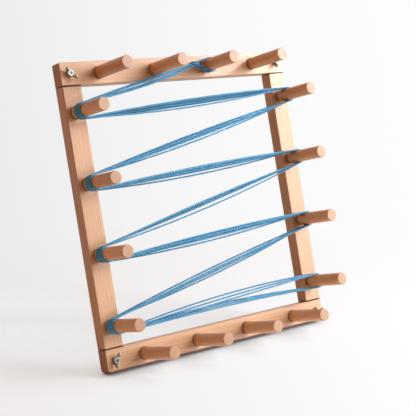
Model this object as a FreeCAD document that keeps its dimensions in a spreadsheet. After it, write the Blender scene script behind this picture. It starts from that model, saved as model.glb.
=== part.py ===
import FreeCAD, Part
import math
import os
import re

import Sketcher

Vector = FreeCAD.Vector
Rotation = FreeCAD.Rotation

# A small warping board: four wooden bars tenoned into a frame, sixteen pegs, a bolt with a wing
# nut through each corner joint, and a warp wound in a zigzag over nine of the pegs.
# Row frame: origin at the middle of the bottom bar's underside, +Z up, pegs towards -Y.

# Driving sizes in millimetres and degrees
SIZES = {
    # frame
    "board_width": 420,
    "board_height": 444,
    "bar_thickness": 20,
    "rail_height": 34,
    "stile_width": 31,
    "edge_round": 1.2,
    "top_corner_round": 3,
    "bottom_corner_round": 7,
    "shoulder_gap": 0.5,
    # corner joints
    "tenon_thickness": 7,
    "tenon_width": 21,
    "tenon_length": 26,
    "tenon_end_gap": 0.5,
    "joint_clearance": 0.15,
    "bolt_inset": 13.5,
    # pegs
    "peg_diameter": 19,
    "peg_stand_out": 75,
    "peg_hole_depth": 14,
    "peg_floor_gap": 0.2,
    "glue_gap": 0.05,
    "peg_end_round": 1.2,
    "rail_peg_margin": 65.1,
    "stile_peg_foot": 31.65,
    "stile_peg_head": 39.25,
    # bolts
    "bolt_diameter": 5,
    "bolt_length": 25,
    "bolt_tip_chamfer": 0.6,
    "bolt_hole_clearance": 0.25,
    "head_diameter": 13.5,
    "head_height": 2.8,
    "head_rim": 0.7,
    "head_recess_depth": 3.2,
    "head_clearance": 0.5,
    "neck_width": 5.4,
    "neck_length": 3,
    "neck_clearance": 0.05,
    # washers
    "washer_diameter": 10,
    "washer_thickness": 1,
    "washer_clearance": 0.25,
    # wing nuts
    "nut_base_diameter": 10,
    "nut_top_diameter": 8.4,
    "nut_height": 6.5,
    "nut_bore_clearance": 0.03,
    "wing_span": 22,
    "wing_thickness": 2,
    "wing_low": 1,
    "wing_tip_low": 5.5,
    "wing_tip_high": 11,
    "wing_tip_width": 4.6,
    "wing_tip_round": 2.2,
    "wing_root": 1.6,
    "wing_edge_round": 0.5,
    # warp
    "yarn_diameter": 2.1,
    "yarn_lane_pitch": 2.6,
    "yarn_peg_gap": 0.3,
    "top_leave_middle": 8,
    "top_enter_middle": 14.5,
    "left_band_middle": 20.5,
    "left_band_step": 2,
    "right_band_middle": 15,
    "right_band_step": 0.8,
    "gather_band_middle": 14,
    "gather_distance": 28,
    "gather_drop": 2.5,
    "gather_ease": 3,
    "gather_bend_radius": 6,
    "gather_pitch": 1.35,
    "gather_rows": 2.3,
    "loose_start": 13,
    "loose_end": 5,
    "loose_end_bend": 18,
    # tie
    "tie_radius": 3.9,
    "tie_half_straight": 3.7,
    "tie_pitch": 2.7,
    "tie_offset": 2,
    "tie_tail": 3,
}

PEGS_PER_BAR = 4
# Each bar's pegs are evenly spaced between a margin at either end
RAIL_PITCH = f"(board_width - 2 * rail_peg_margin) / {PEGS_PER_BAR - 1}"
STILE_ROOM = "(board_height - 2 * rail_height - stile_peg_foot - stile_peg_head)"
STILE_PITCH = f"{STILE_ROOM} / {PEGS_PER_BAR - 1}"
SIDES = {"left": -1, "right": 1}
LEVELS = {"top": 1, "bottom": -1}
WING_TURN = {
    ("left", "top"): -45,
    ("left", "bottom"): 68,
    ("right", "top"): 53,
    ("right", "bottom"): 8,
}

FIRST_PEG = "peg_top_3"
ZIGZAG = ["peg_left_1", "peg_right_1", "peg_left_2", "peg_right_2",
          "peg_left_3", "peg_right_3", "peg_left_4", "peg_right_4"]
ROUND_TRIPS = 3
# How far each lane's strand stands above its taut line in the middle of a leg
FIRST_LEG_RISES = [0.1, -4.4, 1.1, -3.2, -1.0, -5.8]
MIDDLE_LEG_RISES = [-7.2, 4.2, -2.6, 1.4, -0.8, 3.0]
LAST_LEG_RISES = [8.8, 8.5, 4.5, 6.2, 0.6, 4.0]
TIE_TURNS = 1
SAMPLE_STEP = 1.0

document = FreeCAD.newDocument("warping_board")


def make_sheet(sizes):
    """Keep the driving sizes in a spreadsheet, one alias to a row."""
    table = document.addObject("Spreadsheet::Sheet", "Sizes")
    for row, (alias, number) in enumerate(sizes.items(), start=1):
        table.set(f"A{row}", alias)
        table.set(f"B{row}", str(number))
        table.setAlias(f"B{row}", alias)
    document.recompute()
    return table


sheet = make_sheet(SIZES)


def on_sheet(text):
    """Turn a formula in plain size names into one that names the sheet's cells."""
    return re.sub(r"[a-z][a-z_]+", lambda word: "Sizes." + word.group(0), text)


def size(text):
    """Work out a formula in size names as a number."""
    return float(sheet.evalExpression(on_sheet(text)))


def bind(thing, place, text):
    """Tie one property of an object to a formula in size names."""
    thing.setExpression(place, on_sheet(text))


# Bodies and sketches

def new_body(name):
    """Start a body whose label names its sub-part."""
    body = document.addObject("PartDesign::Body", name)
    body.Label = name
    return body


def place_body(body, x="0", y="0", z="0", rotation=Rotation()):
    """Set a body down in the row frame."""
    body.Placement = FreeCAD.Placement(Vector(), rotation)
    for axis, text in (("x", x), ("y", y), ("z", z)):
        bind(body, f"Placement.Base.{axis}", text)


def new_sketch(body, name, plane, offset="0"):
    """Attach a sketch to one of the body's own origin planes, moved along its normal."""
    support = [entry for entry in body.Origin.OriginFeatures if entry.Role == plane][0]
    sketch = body.newObject("Sketcher::SketchObject", name)
    sketch.AttachmentSupport = [(support, "")]
    sketch.MapMode = "FlatFace"
    bind(sketch, "AttachmentOffset.Base.z", offset)
    return sketch


def pin_point(sketch, geometry, end, x, y):
    """Hold one point of a piece of geometry at two formulas from the sketch's origin."""
    for kind, text in (("DistanceX", x), ("DistanceY", y)):
        index = sketch.addConstraint(
            Sketcher.Constraint(kind, -1, 1, geometry, end, size(text)))
        bind(sketch, f"Constraints[{index}]", text)


def dome_side(start, end, radius):
    """Give an arc from a point on the axis whose centre is on the axis above that point."""
    centre = start + Vector(0, radius, 0)
    middle = centre + ((start + end) * 0.5 - centre).normalize() * radius
    return Part.Arc(start, middle, end)


def add_polygon(sketch, corners, dome_radius=None):
    """Draw a closed outline whose corners are pairs of formulas, its first side domed if asked."""
    points = [Vector(size(x), size(y), 0) for x, y in corners]
    first = sketch.GeometryCount
    count = len(points)
    for index in range(count):
        start, end = points[index], points[(index + 1) % count]
        if index == 0 and dome_radius:
            side = dome_side(start, end, size(dome_radius))
        else:
            side = Part.LineSegment(start, end)
        sketch.addGeometry(side)
    for index in range(count):
        following = first + (index + 1) % count
        sketch.addConstraint(Sketcher.Constraint("Coincident", first + index, 2, following, 1))
    for index, (x, y) in enumerate(corners):
        pin_point(sketch, first + index, 1, x, y)
    if dome_radius:
        held = sketch.addConstraint(Sketcher.Constraint("Radius", first, size(dome_radius)))
        bind(sketch, f"Constraints[{held}]", dome_radius)


def add_rectangle(sketch, left, right, low, high):
    """Draw a rectangle between four formulas."""
    add_polygon(sketch, [(left, low), (right, low), (right, high), (left, high)])


def add_circle(sketch, x, y, diameter):
    """Draw a circle with its centre and diameter given by formulas."""
    centre = Vector(size(x), size(y), 0)
    index = sketch.addGeometry(Part.Circle(centre, Vector(0, 0, 1), size(diameter) / 2))
    pin_point(sketch, index, 3, x, y)
    held = sketch.addConstraint(Sketcher.Constraint("Diameter", index, size(diameter)))
    bind(sketch, f"Constraints[{held}]", diameter)


def extrude(kind, body, name, sketch, length, symmetric=False, turned=False):
    """Add a Pad or a Pocket of a sketch."""
    feature = body.newObject("PartDesign::" + kind, name)
    feature.Profile = sketch
    bind(feature, "Length", length)
    feature.SideType = "Symmetric" if symmetric else "One side"
    feature.Reversed = turned
    sketch.Visibility = False
    return feature


def revolve(body, name, sketch):
    """Turn a half section once round the body's Z axis."""
    axis = [entry for entry in body.Origin.OriginFeatures if entry.Role == "Z_Axis"][0]
    feature = body.newObject("PartDesign::Revolution", name)
    feature.Profile = sketch
    feature.ReferenceAxis = (axis, [""])
    feature.Angle = 360
    return feature


def round_edges(body, name, base, radius, wanted):
    """Fillet the edges of a finished feature that pass a test."""
    document.recompute()
    edges = [f"Edge{index}" for index, edge in enumerate(base.Shape.Edges, start=1)
             if wanted(edge)]
    feature = body.newObject("PartDesign::Fillet", name)
    feature.Base = (base, edges)
    bind(feature, "Radius", radius)
    return feature


def nearly(first, second):
    """Compare two lengths."""
    return abs(first - second) < 1e-6


def runs_through(edge):
    """Say whether an edge goes straight through the thickness, along Y."""
    box = edge.BoundBox
    return box.YLength > 1 and nearly(box.XLength, 0) and nearly(box.ZLength, 0)


def lies_flat(edge):
    """Say whether an edge lies in a plane square to Y."""
    return nearly(edge.BoundBox.YLength, 0)


def is_level(edge):
    """Say whether an edge lies in a plane square to Z."""
    return nearly(edge.BoundBox.ZLength, 0)


# Bars

def cut_peg_holes(body, x, z, axis, pitch):
    """Drill the blind holes for a bar's pegs from its front face."""
    name = body.Name
    sketch = new_sketch(body, f"{name}_peg_hole", "XZ_Plane", "bar_thickness / 2")
    add_circle(sketch, x, z, "peg_diameter + 2 * glue_gap")
    hole = extrude("Pocket", body, f"{name}_peg_pocket", sketch, "peg_hole_depth")
    pattern = body.newObject("PartDesign::LinearPattern", f"{name}_peg_holes")
    pattern.Originals = [hole]
    pattern.Direction = (sketch, [axis])
    pattern.Occurrences = PEGS_PER_BAR
    bind(pattern, "Length", f"{pitch} * {PEGS_PER_BAR - 1}")
    body.Tip = pattern


def cut_mortises(body, level):
    """Cut the two blind mortises for the stiles' tenons."""
    inward = -LEVELS[level]
    sketch = new_sketch(body, f"{level}_mortise_outline", "XZ_Plane")
    mouth = f"{inward} * (rail_height / 2 + 1)"
    floor = f"{inward} * (rail_height / 2 - tenon_length - tenon_end_gap)"
    for side in SIDES.values():
        middle = f"{side} * (board_width - stile_width) / 2"
        left = f"{middle} - tenon_width / 2 - joint_clearance"
        right = f"{middle} + tenon_width / 2 + joint_clearance"
        add_rectangle(sketch, left, right, mouth, floor)
    extrude("Pocket", body, f"{level}_mortises", sketch,
            "tenon_thickness + 2 * joint_clearance", symmetric=True)


def cut_bolt_holes(body, level):
    """Cut each corner's bolt hole, the recess of its head and the seat of its square neck."""
    back = "-bar_thickness / 2"
    holes = new_sketch(body, f"{level}_bolt_circles", "XZ_Plane", back)
    recesses = new_sketch(body, f"{level}_head_circles", "XZ_Plane", back)
    necks = new_sketch(body, f"{level}_neck_squares", "XZ_Plane", back)
    half_neck = "(neck_width / 2 + neck_clearance)"
    for side in SIDES.values():
        x = f"{side} * (board_width / 2 - bolt_inset)"
        add_circle(holes, x, "0", "bolt_diameter + 2 * bolt_hole_clearance")
        add_circle(recesses, x, "0", "head_diameter + 2 * head_clearance")
        add_rectangle(necks, f"{x} - {half_neck}", f"{x} + {half_neck}",
                      f"-{half_neck}", half_neck)
    extrude("Pocket", body, f"{level}_bolt_holes", holes, "bar_thickness + 1", turned=True)
    extrude("Pocket", body, f"{level}_head_recesses", recesses, "head_recess_depth",
            turned=True)
    extrude("Pocket", body, f"{level}_neck_seats", necks, "head_recess_depth + neck_length",
            turned=True)


def make_rail(level):
    """Make the top or bottom bar, with mortises facing the other one."""
    body = new_body(f"{level}_bar")
    outline = new_sketch(body, f"{level}_outline", "XZ_Plane")
    add_rectangle(outline, "-board_width / 2", "board_width / 2",
                  "-rail_height / 2", "rail_height / 2")
    bar = extrude("Pad", body, f"{level}_blank", outline, "bar_thickness", symmetric=True)
    outer_edge = LEVELS[level] * size("rail_height / 2")
    corners = round_edges(
        body, f"{level}_corners", bar, f"{level}_corner_round",
        lambda edge: runs_through(edge) and nearly(edge.BoundBox.ZMin, outer_edge))
    round_edges(body, f"{level}_edges", corners, "edge_round", lies_flat)
    cut_mortises(body, level)
    cut_bolt_holes(body, level)
    cut_peg_holes(body, "-board_width / 2 + rail_peg_margin", "0", "H_Axis", RAIL_PITCH)
    place_body(body, z=RAIL_MIDDLE[level])


def make_stile(side):
    """Make the left or right bar, with a tenon on each end."""
    outward = SIDES[side]
    body = new_body(f"{side}_bar")
    low = "rail_height + shoulder_gap"
    high = "board_height - rail_height - shoulder_gap"
    outline = new_sketch(body, f"{side}_outline", "XZ_Plane")
    add_rectangle(outline, "-stile_width / 2", "stile_width / 2", low, high)
    bar = extrude("Pad", body, f"{side}_blank", outline, "bar_thickness", symmetric=True)
    round_edges(body, f"{side}_edges", bar, "edge_round", lies_flat)
    tenons = new_sketch(body, f"{side}_tenon_outline", "XZ_Plane")
    for root, tip in ((f"{low} + edge_round", "rail_height - tenon_length"),
                      (f"{high} - edge_round", "board_height - rail_height + tenon_length")):
        add_rectangle(tenons, "-tenon_width / 2", "tenon_width / 2", root, tip)
    extrude("Pad", body, f"{side}_tenons", tenons, "tenon_thickness", symmetric=True)
    bolts = new_sketch(body, f"{side}_bolt_circles", "XZ_Plane")
    x = f"{outward} * (stile_width / 2 - bolt_inset)"
    for z in RAIL_MIDDLE.values():
        add_circle(bolts, x, z, "bolt_diameter + 2 * bolt_hole_clearance")
    extrude("Pocket", body, f"{side}_bolt_holes", bolts, "bar_thickness", symmetric=True)
    cut_peg_holes(body, "0", "rail_height + stile_peg_foot", "V_Axis", STILE_PITCH)
    place_body(body, x=STILE_MIDDLE[side])


RAIL_MIDDLE = {"top": "board_height - rail_height / 2", "bottom": "rail_height / 2"}
STILE_MIDDLE = {side: f"{outward} * (board_width - stile_width) / 2"
                for side, outward in SIDES.items()}
OUT_OF_BOARD = Rotation(Vector(1, 0, 0), 90)


# Pegs

def list_peg_spots():
    """Give each peg's axis as two formulas, numbered from the left and from the top."""
    spots = {}
    for number in range(PEGS_PER_BAR):
        for level, z in RAIL_MIDDLE.items():
            x = f"-board_width / 2 + rail_peg_margin + {RAIL_PITCH} * {number}"
            spots[f"peg_{level}_{number + 1}"] = (x, z)
        for side, x in STILE_MIDDLE.items():
            z = f"board_height - rail_height - stile_peg_head - {STILE_PITCH} * {number}"
            spots[f"peg_{side}_{number + 1}"] = (x, z)
    return spots


PEG_SPOTS = list_peg_spots()


def make_peg(name):
    """Make one dowel, eased at both ends, standing in its blind hole."""
    x, z = PEG_SPOTS[name]
    body = new_body(name)
    circle = new_sketch(body, f"{name}_circle", "XY_Plane")
    add_circle(circle, "0", "0", "peg_diameter")
    rod = extrude("Pad", body, f"{name}_rod", circle,
                  "peg_stand_out + peg_hole_depth - peg_floor_gap")
    round_edges(body, f"{name}_ends", rod, "peg_end_round", is_level)
    place_body(body, x, "-bar_thickness / 2 + peg_hole_depth - peg_floor_gap", z, OUT_OF_BOARD)


# Bolts, washers and wing nuts

def corner_axis(side, level):
    """Give the formulas of a corner bolt's axis."""
    return f"{SIDES[side]} * (board_width / 2 - bolt_inset)", RAIL_MIDDLE[level]


def make_bolt(side, level):
    """Make a carriage bolt: domed head, square neck and round shank."""
    name = f"bolt_{side}_{level}"
    body = new_body(name)
    section = new_sketch(body, f"{name}_section", "XZ_Plane")
    rise = "(head_height - head_rim)"
    dome_radius = f"((head_diameter / 2) ^ 2 + {rise} ^ 2) / (2 * {rise})"
    add_polygon(section, [
        ("0", "-head_height"),
        ("head_diameter / 2", "-head_rim"),
        ("head_diameter / 2", "0"),
        ("bolt_diameter / 2", "0"),
        ("bolt_diameter / 2", "bolt_length - bolt_tip_chamfer"),
        ("bolt_diameter / 2 - bolt_tip_chamfer", "bolt_length"),
        ("0", "bolt_length"),
    ], dome_radius)
    revolve(body, f"{name}_turned", section)
    neck = new_sketch(body, f"{name}_neck_square", "XY_Plane")
    add_rectangle(neck, "-neck_width / 2", "neck_width / 2", "-neck_width / 2", "neck_width / 2")
    extrude("Pad", body, f"{name}_neck", neck, "neck_length - neck_clearance")
    x, z = corner_axis(side, level)
    place_body(body, x, "bar_thickness / 2 - head_recess_depth", z, OUT_OF_BOARD)


def make_washer(side, level):
    """Make the flat washer between the bar and the wing nut."""
    name = f"washer_{side}_{level}"
    body = new_body(name)
    ring = new_sketch(body, f"{name}_ring", "XY_Plane")
    add_circle(ring, "0", "0", "washer_diameter")
    add_circle(ring, "0", "0", "bolt_diameter + 2 * washer_clearance")
    extrude("Pad", body, f"{name}_plate", ring, "washer_thickness")
    x, z = corner_axis(side, level)
    place_body(body, x, "-bar_thickness / 2", z, OUT_OF_BOARD)


def make_wing_nut(side, level):
    """Make a wing nut: a tapered hub with two ears that flare away from the board."""
    name = f"wing_nut_{side}_{level}"
    body = new_body(name)
    section = new_sketch(body, f"{name}_section", "XZ_Plane")
    add_polygon(section, [
        ("0", "0"),
        ("nut_base_diameter / 2", "0"),
        ("nut_top_diameter / 2", "nut_height"),
        ("0", "nut_height"),
    ])
    revolve(body, f"{name}_hub", section)
    ears = new_sketch(body, f"{name}_ear_outlines", "XZ_Plane")
    for way in (-1, 1):
        add_polygon(ears, [
            (f"{way} * wing_root", "wing_low"),
            (f"{way} * nut_base_diameter / 2", "wing_low"),
            (f"{way} * wing_span / 2", "wing_tip_low"),
            (f"{way} * wing_span / 2", "wing_tip_high"),
            (f"{way} * (wing_span / 2 - wing_tip_width)", "wing_tip_high"),
            (f"{way} * nut_top_diameter / 2", "nut_height - wing_edge_round"),
            (f"{way} * wing_root", "nut_height - wing_edge_round"),
        ])
    wings = extrude("Pad", body, f"{name}_ears", ears, "wing_thickness", symmetric=True)
    hub_reach = size("nut_base_diameter / 2")
    tips = round_edges(
        body, f"{name}_tips", wings, "wing_tip_round",
        lambda edge: runs_through(edge) and reach_of(edge) > hub_reach + 1)
    round_edges(body, f"{name}_ear_edges", tips, "wing_edge_round",
                lambda edge: on_ear_side(edge) and reach_of(edge) > hub_reach + 1)
    bore = new_sketch(body, f"{name}_bore_circle", "XY_Plane")
    add_circle(bore, "0", "0", "bolt_diameter + 2 * nut_bore_clearance")
    extrude("Pocket", body, f"{name}_bore", bore, "nut_height + 1", turned=True)
    x, z = corner_axis(side, level)
    turn = Rotation(Vector(0, 0, 1), WING_TURN[side, level])
    place_body(body, x, "-bar_thickness / 2 - washer_thickness", z, OUT_OF_BOARD * turn)


def reach_of(edge):
    """Give how far an edge reaches from the nut's axis along the ears."""
    return max(abs(edge.BoundBox.XMin), abs(edge.BoundBox.XMax))


def on_ear_side(edge):
    """Say whether an edge borders a flat side of an ear."""
    return lies_flat(edge) and nearly(abs(edge.BoundBox.YMin), size("wing_thickness / 2"))


# Tubes along smooth lines of arcs

def arc_through(start, corner, end):
    """Make the arc that touches the lines start to corner and corner to end."""
    turn = (corner - start).getAngle(end - corner)
    if turn < 1e-5:
        return Part.LineSegment(start, end).toShape()
    middle = (start + end) * 0.5
    rise = math.tan(turn / 4) / math.tan(turn / 2)
    return Part.Arc(start, middle + (corner - middle) * rise, end).toShape()


def biarc(start, start_way, end, end_way):
    """Join two points with given directions by two arcs that meet smoothly."""
    chord = end - start
    straight = start_way.cross(chord).Length < 1e-6 * chord.Length
    if straight and start_way.isEqual(end_way, 1e-6):
        return [Part.LineSegment(start, end).toShape()]
    spread = 1 - start_way.dot(end_way)
    along = chord.dot(start_way + end_way)
    if spread < 1e-9:
        reach = chord.dot(chord) / (2 * along)
    else:
        root = math.sqrt(along * along + 2 * spread * chord.dot(chord))
        reach = (root - along) / (2 * spread)
    first_corner = start + start_way * reach
    second_corner = end - end_way * reach
    joint = (first_corner + second_corner) * 0.5
    return [arc_through(start, first_corner, joint), arc_through(joint, second_corner, end)]


def thread_nodes(nodes):
    """Join a list of points with directions by biarcs."""
    edges = []
    for (here, here_way), (there, there_way) in zip(nodes, nodes[1:]):
        edges += biarc(here, here_way, there, there_way)
    return edges


def make_tube(name, nodes):
    """Sweep the yarn's round section along the line through the nodes."""
    edges = thread_nodes(nodes)
    start, way = nodes[0]
    ring = Part.Circle(start, way, size("yarn_diameter / 2")).toShape()
    tube = Part.Wire(edges).makePipeShell([Part.Wire(ring)], True, False)
    piece = document.addObject("Part::Feature", name)
    piece.Shape = tube
    piece.Label = name
    describe_tube(name, edges, tube)
    return edges


def describe_tube(name, edges, tube):
    """Print a tube's length, tightest bend and how its volume compares with its section."""
    length = sum(edge.Length for edge in edges)
    radii = [edge.Curve.Radius for edge in edges if isinstance(edge.Curve, Part.Circle)]
    section = math.pi * size("yarn_diameter / 2") ** 2
    share = tube.Volume / (section * length)
    print(f"{name}: length {length:.1f}, edges {len(edges)}, tightest radius {min(radii):.2f}, "
          f"volume over section times length {share:.5f}, solids {len(tube.Solids)}")


# Warp: runs between pegs and wraps round them

class Stop:
    """A circle that the yarn goes round, with the depths at which it comes and goes."""

    def __init__(self, centre, radius, sense, enter, leave=None):
        self.x, self.z = centre
        self.radius = radius
        self.sense = sense
        self.enter = enter
        self.leave = enter if leave is None else leave

    def point(self, heading, depth):
        """Give the point where the yarn, going round, has this heading."""
        angle = heading - self.sense * math.pi / 2
        return Vector(self.x + self.radius * math.cos(angle), depth,
                      self.z + self.radius * math.sin(angle))


def way_of(heading, slope):
    """Give the unit vector of a heading in the board's plane with a drift along Y."""
    return Vector(math.cos(heading), slope, math.sin(heading)).normalize()


def taut_heading(first, second):
    """Give the heading of the straight line that leaves one circle and meets the next."""
    across = second.x - first.x
    up = second.z - first.z
    offset = first.sense * first.radius - second.sense * second.radius
    return math.atan2(up, across) + math.asin(offset / math.hypot(across, up))


def run_ends(first, second, rise):
    """Give both ends of a run as point, heading and slope, its middle raised over the taut line."""
    heading = taut_heading(first, second)
    taut_length = (second.point(heading, 0) - first.point(heading, 0)).Length
    bow = math.copysign(4 * rise / taut_length, rise * math.cos(heading))
    slope = (second.enter - first.leave) / taut_length
    start = (first.point(heading + bow, first.leave), heading + bow, slope)
    end = (second.point(heading - bow, second.enter), heading - bow, slope)
    return start, end


def ease_corner(corner, first_way, last_way):
    """Give the two nodes between which a corner is rounded."""
    ease = size("gather_ease")
    return [(corner - first_way * ease, first_way), (corner + last_way * ease, last_way)]


def wrap_nodes(stop, arrival, departure):
    """Follow a circle from one heading to the next in steps of at most a quarter turn."""
    start, first_heading, first_slope = arrival
    end, last_heading, last_slope = departure
    if stop.radius == 0:
        return ease_corner(start, way_of(first_heading, first_slope),
                           way_of(last_heading, last_slope))
    turn = (last_heading - first_heading) * stop.sense % (2 * math.pi)
    count = math.ceil(turn / (math.pi / 2) - 0.1)
    climb = (stop.leave - stop.enter) / (stop.radius * turn)
    nodes = [(start, way_of(first_heading, first_slope))]
    for index in range(1, count):
        share = index / count
        heading = first_heading + stop.sense * turn * share
        depth = stop.enter + (stop.leave - stop.enter) * share
        nodes.append((stop.point(heading, depth), way_of(heading, climb)))
    nodes.append((end, way_of(last_heading, last_slope)))
    return nodes


def front_depth(middle, lane, middle_lane, pitch):
    """Give the depth of one lane in a band whose middle stands off the front face."""
    return -size("bar_thickness / 2") - middle - (lane - middle_lane) * pitch


def peg_depth(name, lane):
    """Give the depth of a lane on a peg; on the first, the outgoing lanes lie nearer the bar."""
    _, bar, number = name.split("_")
    if name == FIRST_PEG:
        outgoing = lane % 2 == 0
        middle = size("top_leave_middle" if outgoing else "top_enter_middle")
        middle_lane = ROUND_TRIPS - (1 if outgoing else 2)
    else:
        middle = size(f"{bar}_band_middle - {bar}_band_step * {int(number) - 1}")
        middle_lane = ROUND_TRIPS - 0.5
    return front_depth(middle, lane, middle_lane, size("yarn_lane_pitch"))


def peg_stop(name, sense, enter_lane, leave_lane):
    """Give the yarn's circle round a peg."""
    x, z = PEG_SPOTS[name]
    radius = size("(peg_diameter + yarn_diameter) / 2 + yarn_peg_gap")
    return Stop((size(x), size(z)), radius, sense,
                peg_depth(name, enter_lane), peg_depth(name, leave_lane))


def outward_sense(name):
    """Going out, the yarn turns one way on left pegs and the other way on right ones."""
    return -1 if "right" in name else 1


def first_line():
    """Give the point under the first taut line where the strands are gathered, and its heading."""
    first = peg_stop(FIRST_PEG, 1, 0, 0)
    following = peg_stop(ZIGZAG[0], 1, 0, 0)
    heading = taut_heading(first, following)
    reached = first.point(heading, 0) + way_of(heading, 0) * size("gather_distance")
    return reached - upward(heading) * size("gather_drop"), heading


def upward(heading):
    """Give the unit vector in the board's plane that is square to a heading, here upwards."""
    return Vector(math.sin(heading), 0, -math.cos(heading))


def gather_stop(lane):
    """Give the bend of a strand where all are gathered into two rows: none in the upper one."""
    gathered, heading = first_line()
    outgoing = lane % 2 == 0
    row = size("gather_rows / 2") if outgoing else -size("gather_rows / 2")
    radius = 0 if outgoing else size("gather_bend_radius")
    centre = gathered + upward(heading) * (row - radius)
    depth = front_depth(size("gather_band_middle"), lane, ROUND_TRIPS - 1, size("gather_pitch"))
    return Stop((centre.x, centre.z), radius, 1 if outgoing else -1, depth)


def list_stops():
    """List every circle on the way with the rise of the run that leads to it."""
    stops = []
    for out_lane in range(0, 2 * ROUND_TRIPS, 2):
        back_lane = out_lane + 1
        stops.append((peg_stop(FIRST_PEG, 1, out_lane - 1, out_lane), 0))
        stops.append((gather_stop(out_lane), 0))
        for leg, name in enumerate(ZIGZAG):
            leave_lane = back_lane if name == ZIGZAG[-1] else out_lane
            stop = peg_stop(name, outward_sense(name), out_lane, leave_lane)
            stops.append((stop, strand_rise(leg, out_lane)))
        for leg in range(len(ZIGZAG) - 1, 0, -1):
            name = ZIGZAG[leg - 1]
            stop = peg_stop(name, -outward_sense(name), back_lane, back_lane)
            stops.append((stop, strand_rise(leg, back_lane)))
        stops.append((gather_stop(back_lane), strand_rise(0, back_lane)))
    return stops


def strand_rise(leg, lane):
    """Give how far a strand stands over its taut line in the middle of a leg."""
    if leg == 0:
        return FIRST_LEG_RISES[lane]
    if leg == len(ZIGZAG) - 1:
        return LAST_LEG_RISES[lane]
    return MIDDLE_LEG_RISES[(lane + 2 * leg) % len(MIDDLE_LEG_RISES)]


def strand_droop():
    """Give the angle by which the gathered strands hang below their taut line."""
    mean_rise = sum(FIRST_LEG_RISES) / len(FIRST_LEG_RISES)
    first, last = (size(text) for text in (PEG_SPOTS[FIRST_PEG][0], PEG_SPOTS[ZIGZAG[0]][0]))
    return -4 * mean_rise / abs(first - last)


def warp_nodes():
    """Give the warp's middle line as points with directions, from loose end to loose end."""
    here = gather_stop(-1)
    _, line_heading = first_line()
    start_heading = line_heading - math.pi + strand_droop()
    start = here.point(start_heading, here.enter)
    way = way_of(start_heading, 0)
    nodes = [(start - way * size("loose_start"), way)]
    arrival = (start, start_heading, 0)
    for stop, rise in list_stops():
        departure, next_arrival = run_ends(here, stop, rise)
        nodes += wrap_nodes(here, arrival, departure)
        here, arrival = stop, next_arrival
    last_heading = arrival[1] - math.radians(size("loose_end_bend"))
    end = here.point(last_heading, here.leave)
    nodes += wrap_nodes(here, arrival, (end, last_heading, 0))
    way = way_of(last_heading, 0)
    nodes.append((end + way * size("loose_end"), way))
    return nodes


def tie_nodes():
    """Wind the tie round the gathered strands: a flat-sided coil between two straight tails."""
    gathered, line_heading = first_line()
    heading = line_heading + strand_droop()
    forward = way_of(heading, 0)
    normal = upward(heading)
    aside = Vector(0, -1, 0)
    radius = size("tie_radius")
    half = size("tie_half_straight")
    quarter = math.pi * radius / 2
    climb = size("tie_pitch") / (4 * quarter + 4 * half)
    depth = front_depth(size("gather_band_middle"), 0, 0, 0)
    origin = Vector(gathered.x, depth, gathered.z) + forward * size("tie_offset")
    corners = [(half, -radius, 0, 2 * half), (half + radius, 0, 90, quarter),
               (half, radius, 180, quarter), (-half, radius, 180, 2 * half),
               (-half - radius, 0, 270, quarter), (-half, -radius, 0, quarter)]
    nodes = []
    travelled = 0
    for across, up, angle, step in corners * TIE_TURNS:
        travelled += step
        point = origin + aside * across + normal * up + forward * (climb * travelled)
        bend = math.radians(angle)
        way = aside * math.cos(bend) + normal * math.sin(bend) + forward * climb
        nodes.append((point, way.normalize()))
    first, first_way = nodes[0]
    last, last_way = nodes[-1]
    tail = size("tie_tail")
    return [(first - first_way * tail, first_way)] + nodes + [(last + last_way * tail, last_way)]


# Checks of the wound lines

def sample_line(edges):
    """Take points along a chain of edges, each with its distance from the start."""
    points = []
    travelled = 0
    for edge in edges:
        count = max(2, math.ceil(edge.Length / SAMPLE_STEP))
        for index, point in enumerate(edge.discretize(count + 1)[:-1]):
            points.append((point, travelled + edge.Length * index / count))
        travelled += edge.Length
    return points


def neighbours(key):
    """List a grid cell and the cells round it."""
    shifts = (-1, 0, 1)
    return [(key[0] + a, key[1] + b, key[2] + c) for a in shifts for b in shifts for c in shifts]


def least_gap(first, second, apart):
    """Give the least gap between two sampled tubes, or of one to itself beyond a distance."""
    cell = 4 * size("yarn_diameter")
    grid = {}
    for point, place in second:
        key = tuple(math.floor(number / cell) for number in point)
        grid.setdefault(key, []).append((point, place))
    best = cell
    for point, place in first:
        key = tuple(math.floor(number / cell) for number in point)
        for near in neighbours(key):
            for other, other_place in grid.get(near, ()):
                if abs(place - other_place) > apart:
                    best = min(best, (point - other).Length)
    return best - size("yarn_diameter")


def main():
    """Make every sub-part."""
    for level in LEVELS:
        make_rail(level)
    for side in SIDES:
        make_stile(side)
    for name in PEG_SPOTS:
        make_peg(name)
    for side in SIDES:
        for level in LEVELS:
            make_bolt(side, level)
            make_washer(side, level)
            make_wing_nut(side, level)
    warp = sample_line(make_tube("warp_yarn", warp_nodes()))
    tie = sample_line(make_tube("warp_tie", tie_nodes()))
    apart = 4 * size("yarn_diameter")
    print("warp to itself, least gap", round(least_gap(warp, warp, apart), 3))
    print("tie to itself, least gap", round(least_gap(tie, tie, apart), 3))
    print("tie to warp, least gap", round(least_gap(tie, warp, -1), 3))


def export_parts():
    """Check every finished piece and write it under its label."""
    os.makedirs("parts", exist_ok=True)
    for thing in document.Objects:
        if "Invalid" in thing.State or "Error" in thing.State:
            raise RuntimeError(f"{thing.Label} failed: {thing.State}")
    for thing in document.Objects:
        if thing.isDerivedFrom("PartDesign::Body") or thing.TypeId == "Part::Feature":
            shape = thing.Shape
            if shape.isNull() or not shape.isValid() or len(shape.Solids) != 1:
                raise RuntimeError(f"{thing.Label} is not one valid solid")
            print(f"{thing.Label}: volume {shape.Volume:.1f}")
            shape.exportStep(f"parts/{thing.Label}.step")


main()
document.recompute()
export_parts()
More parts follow.
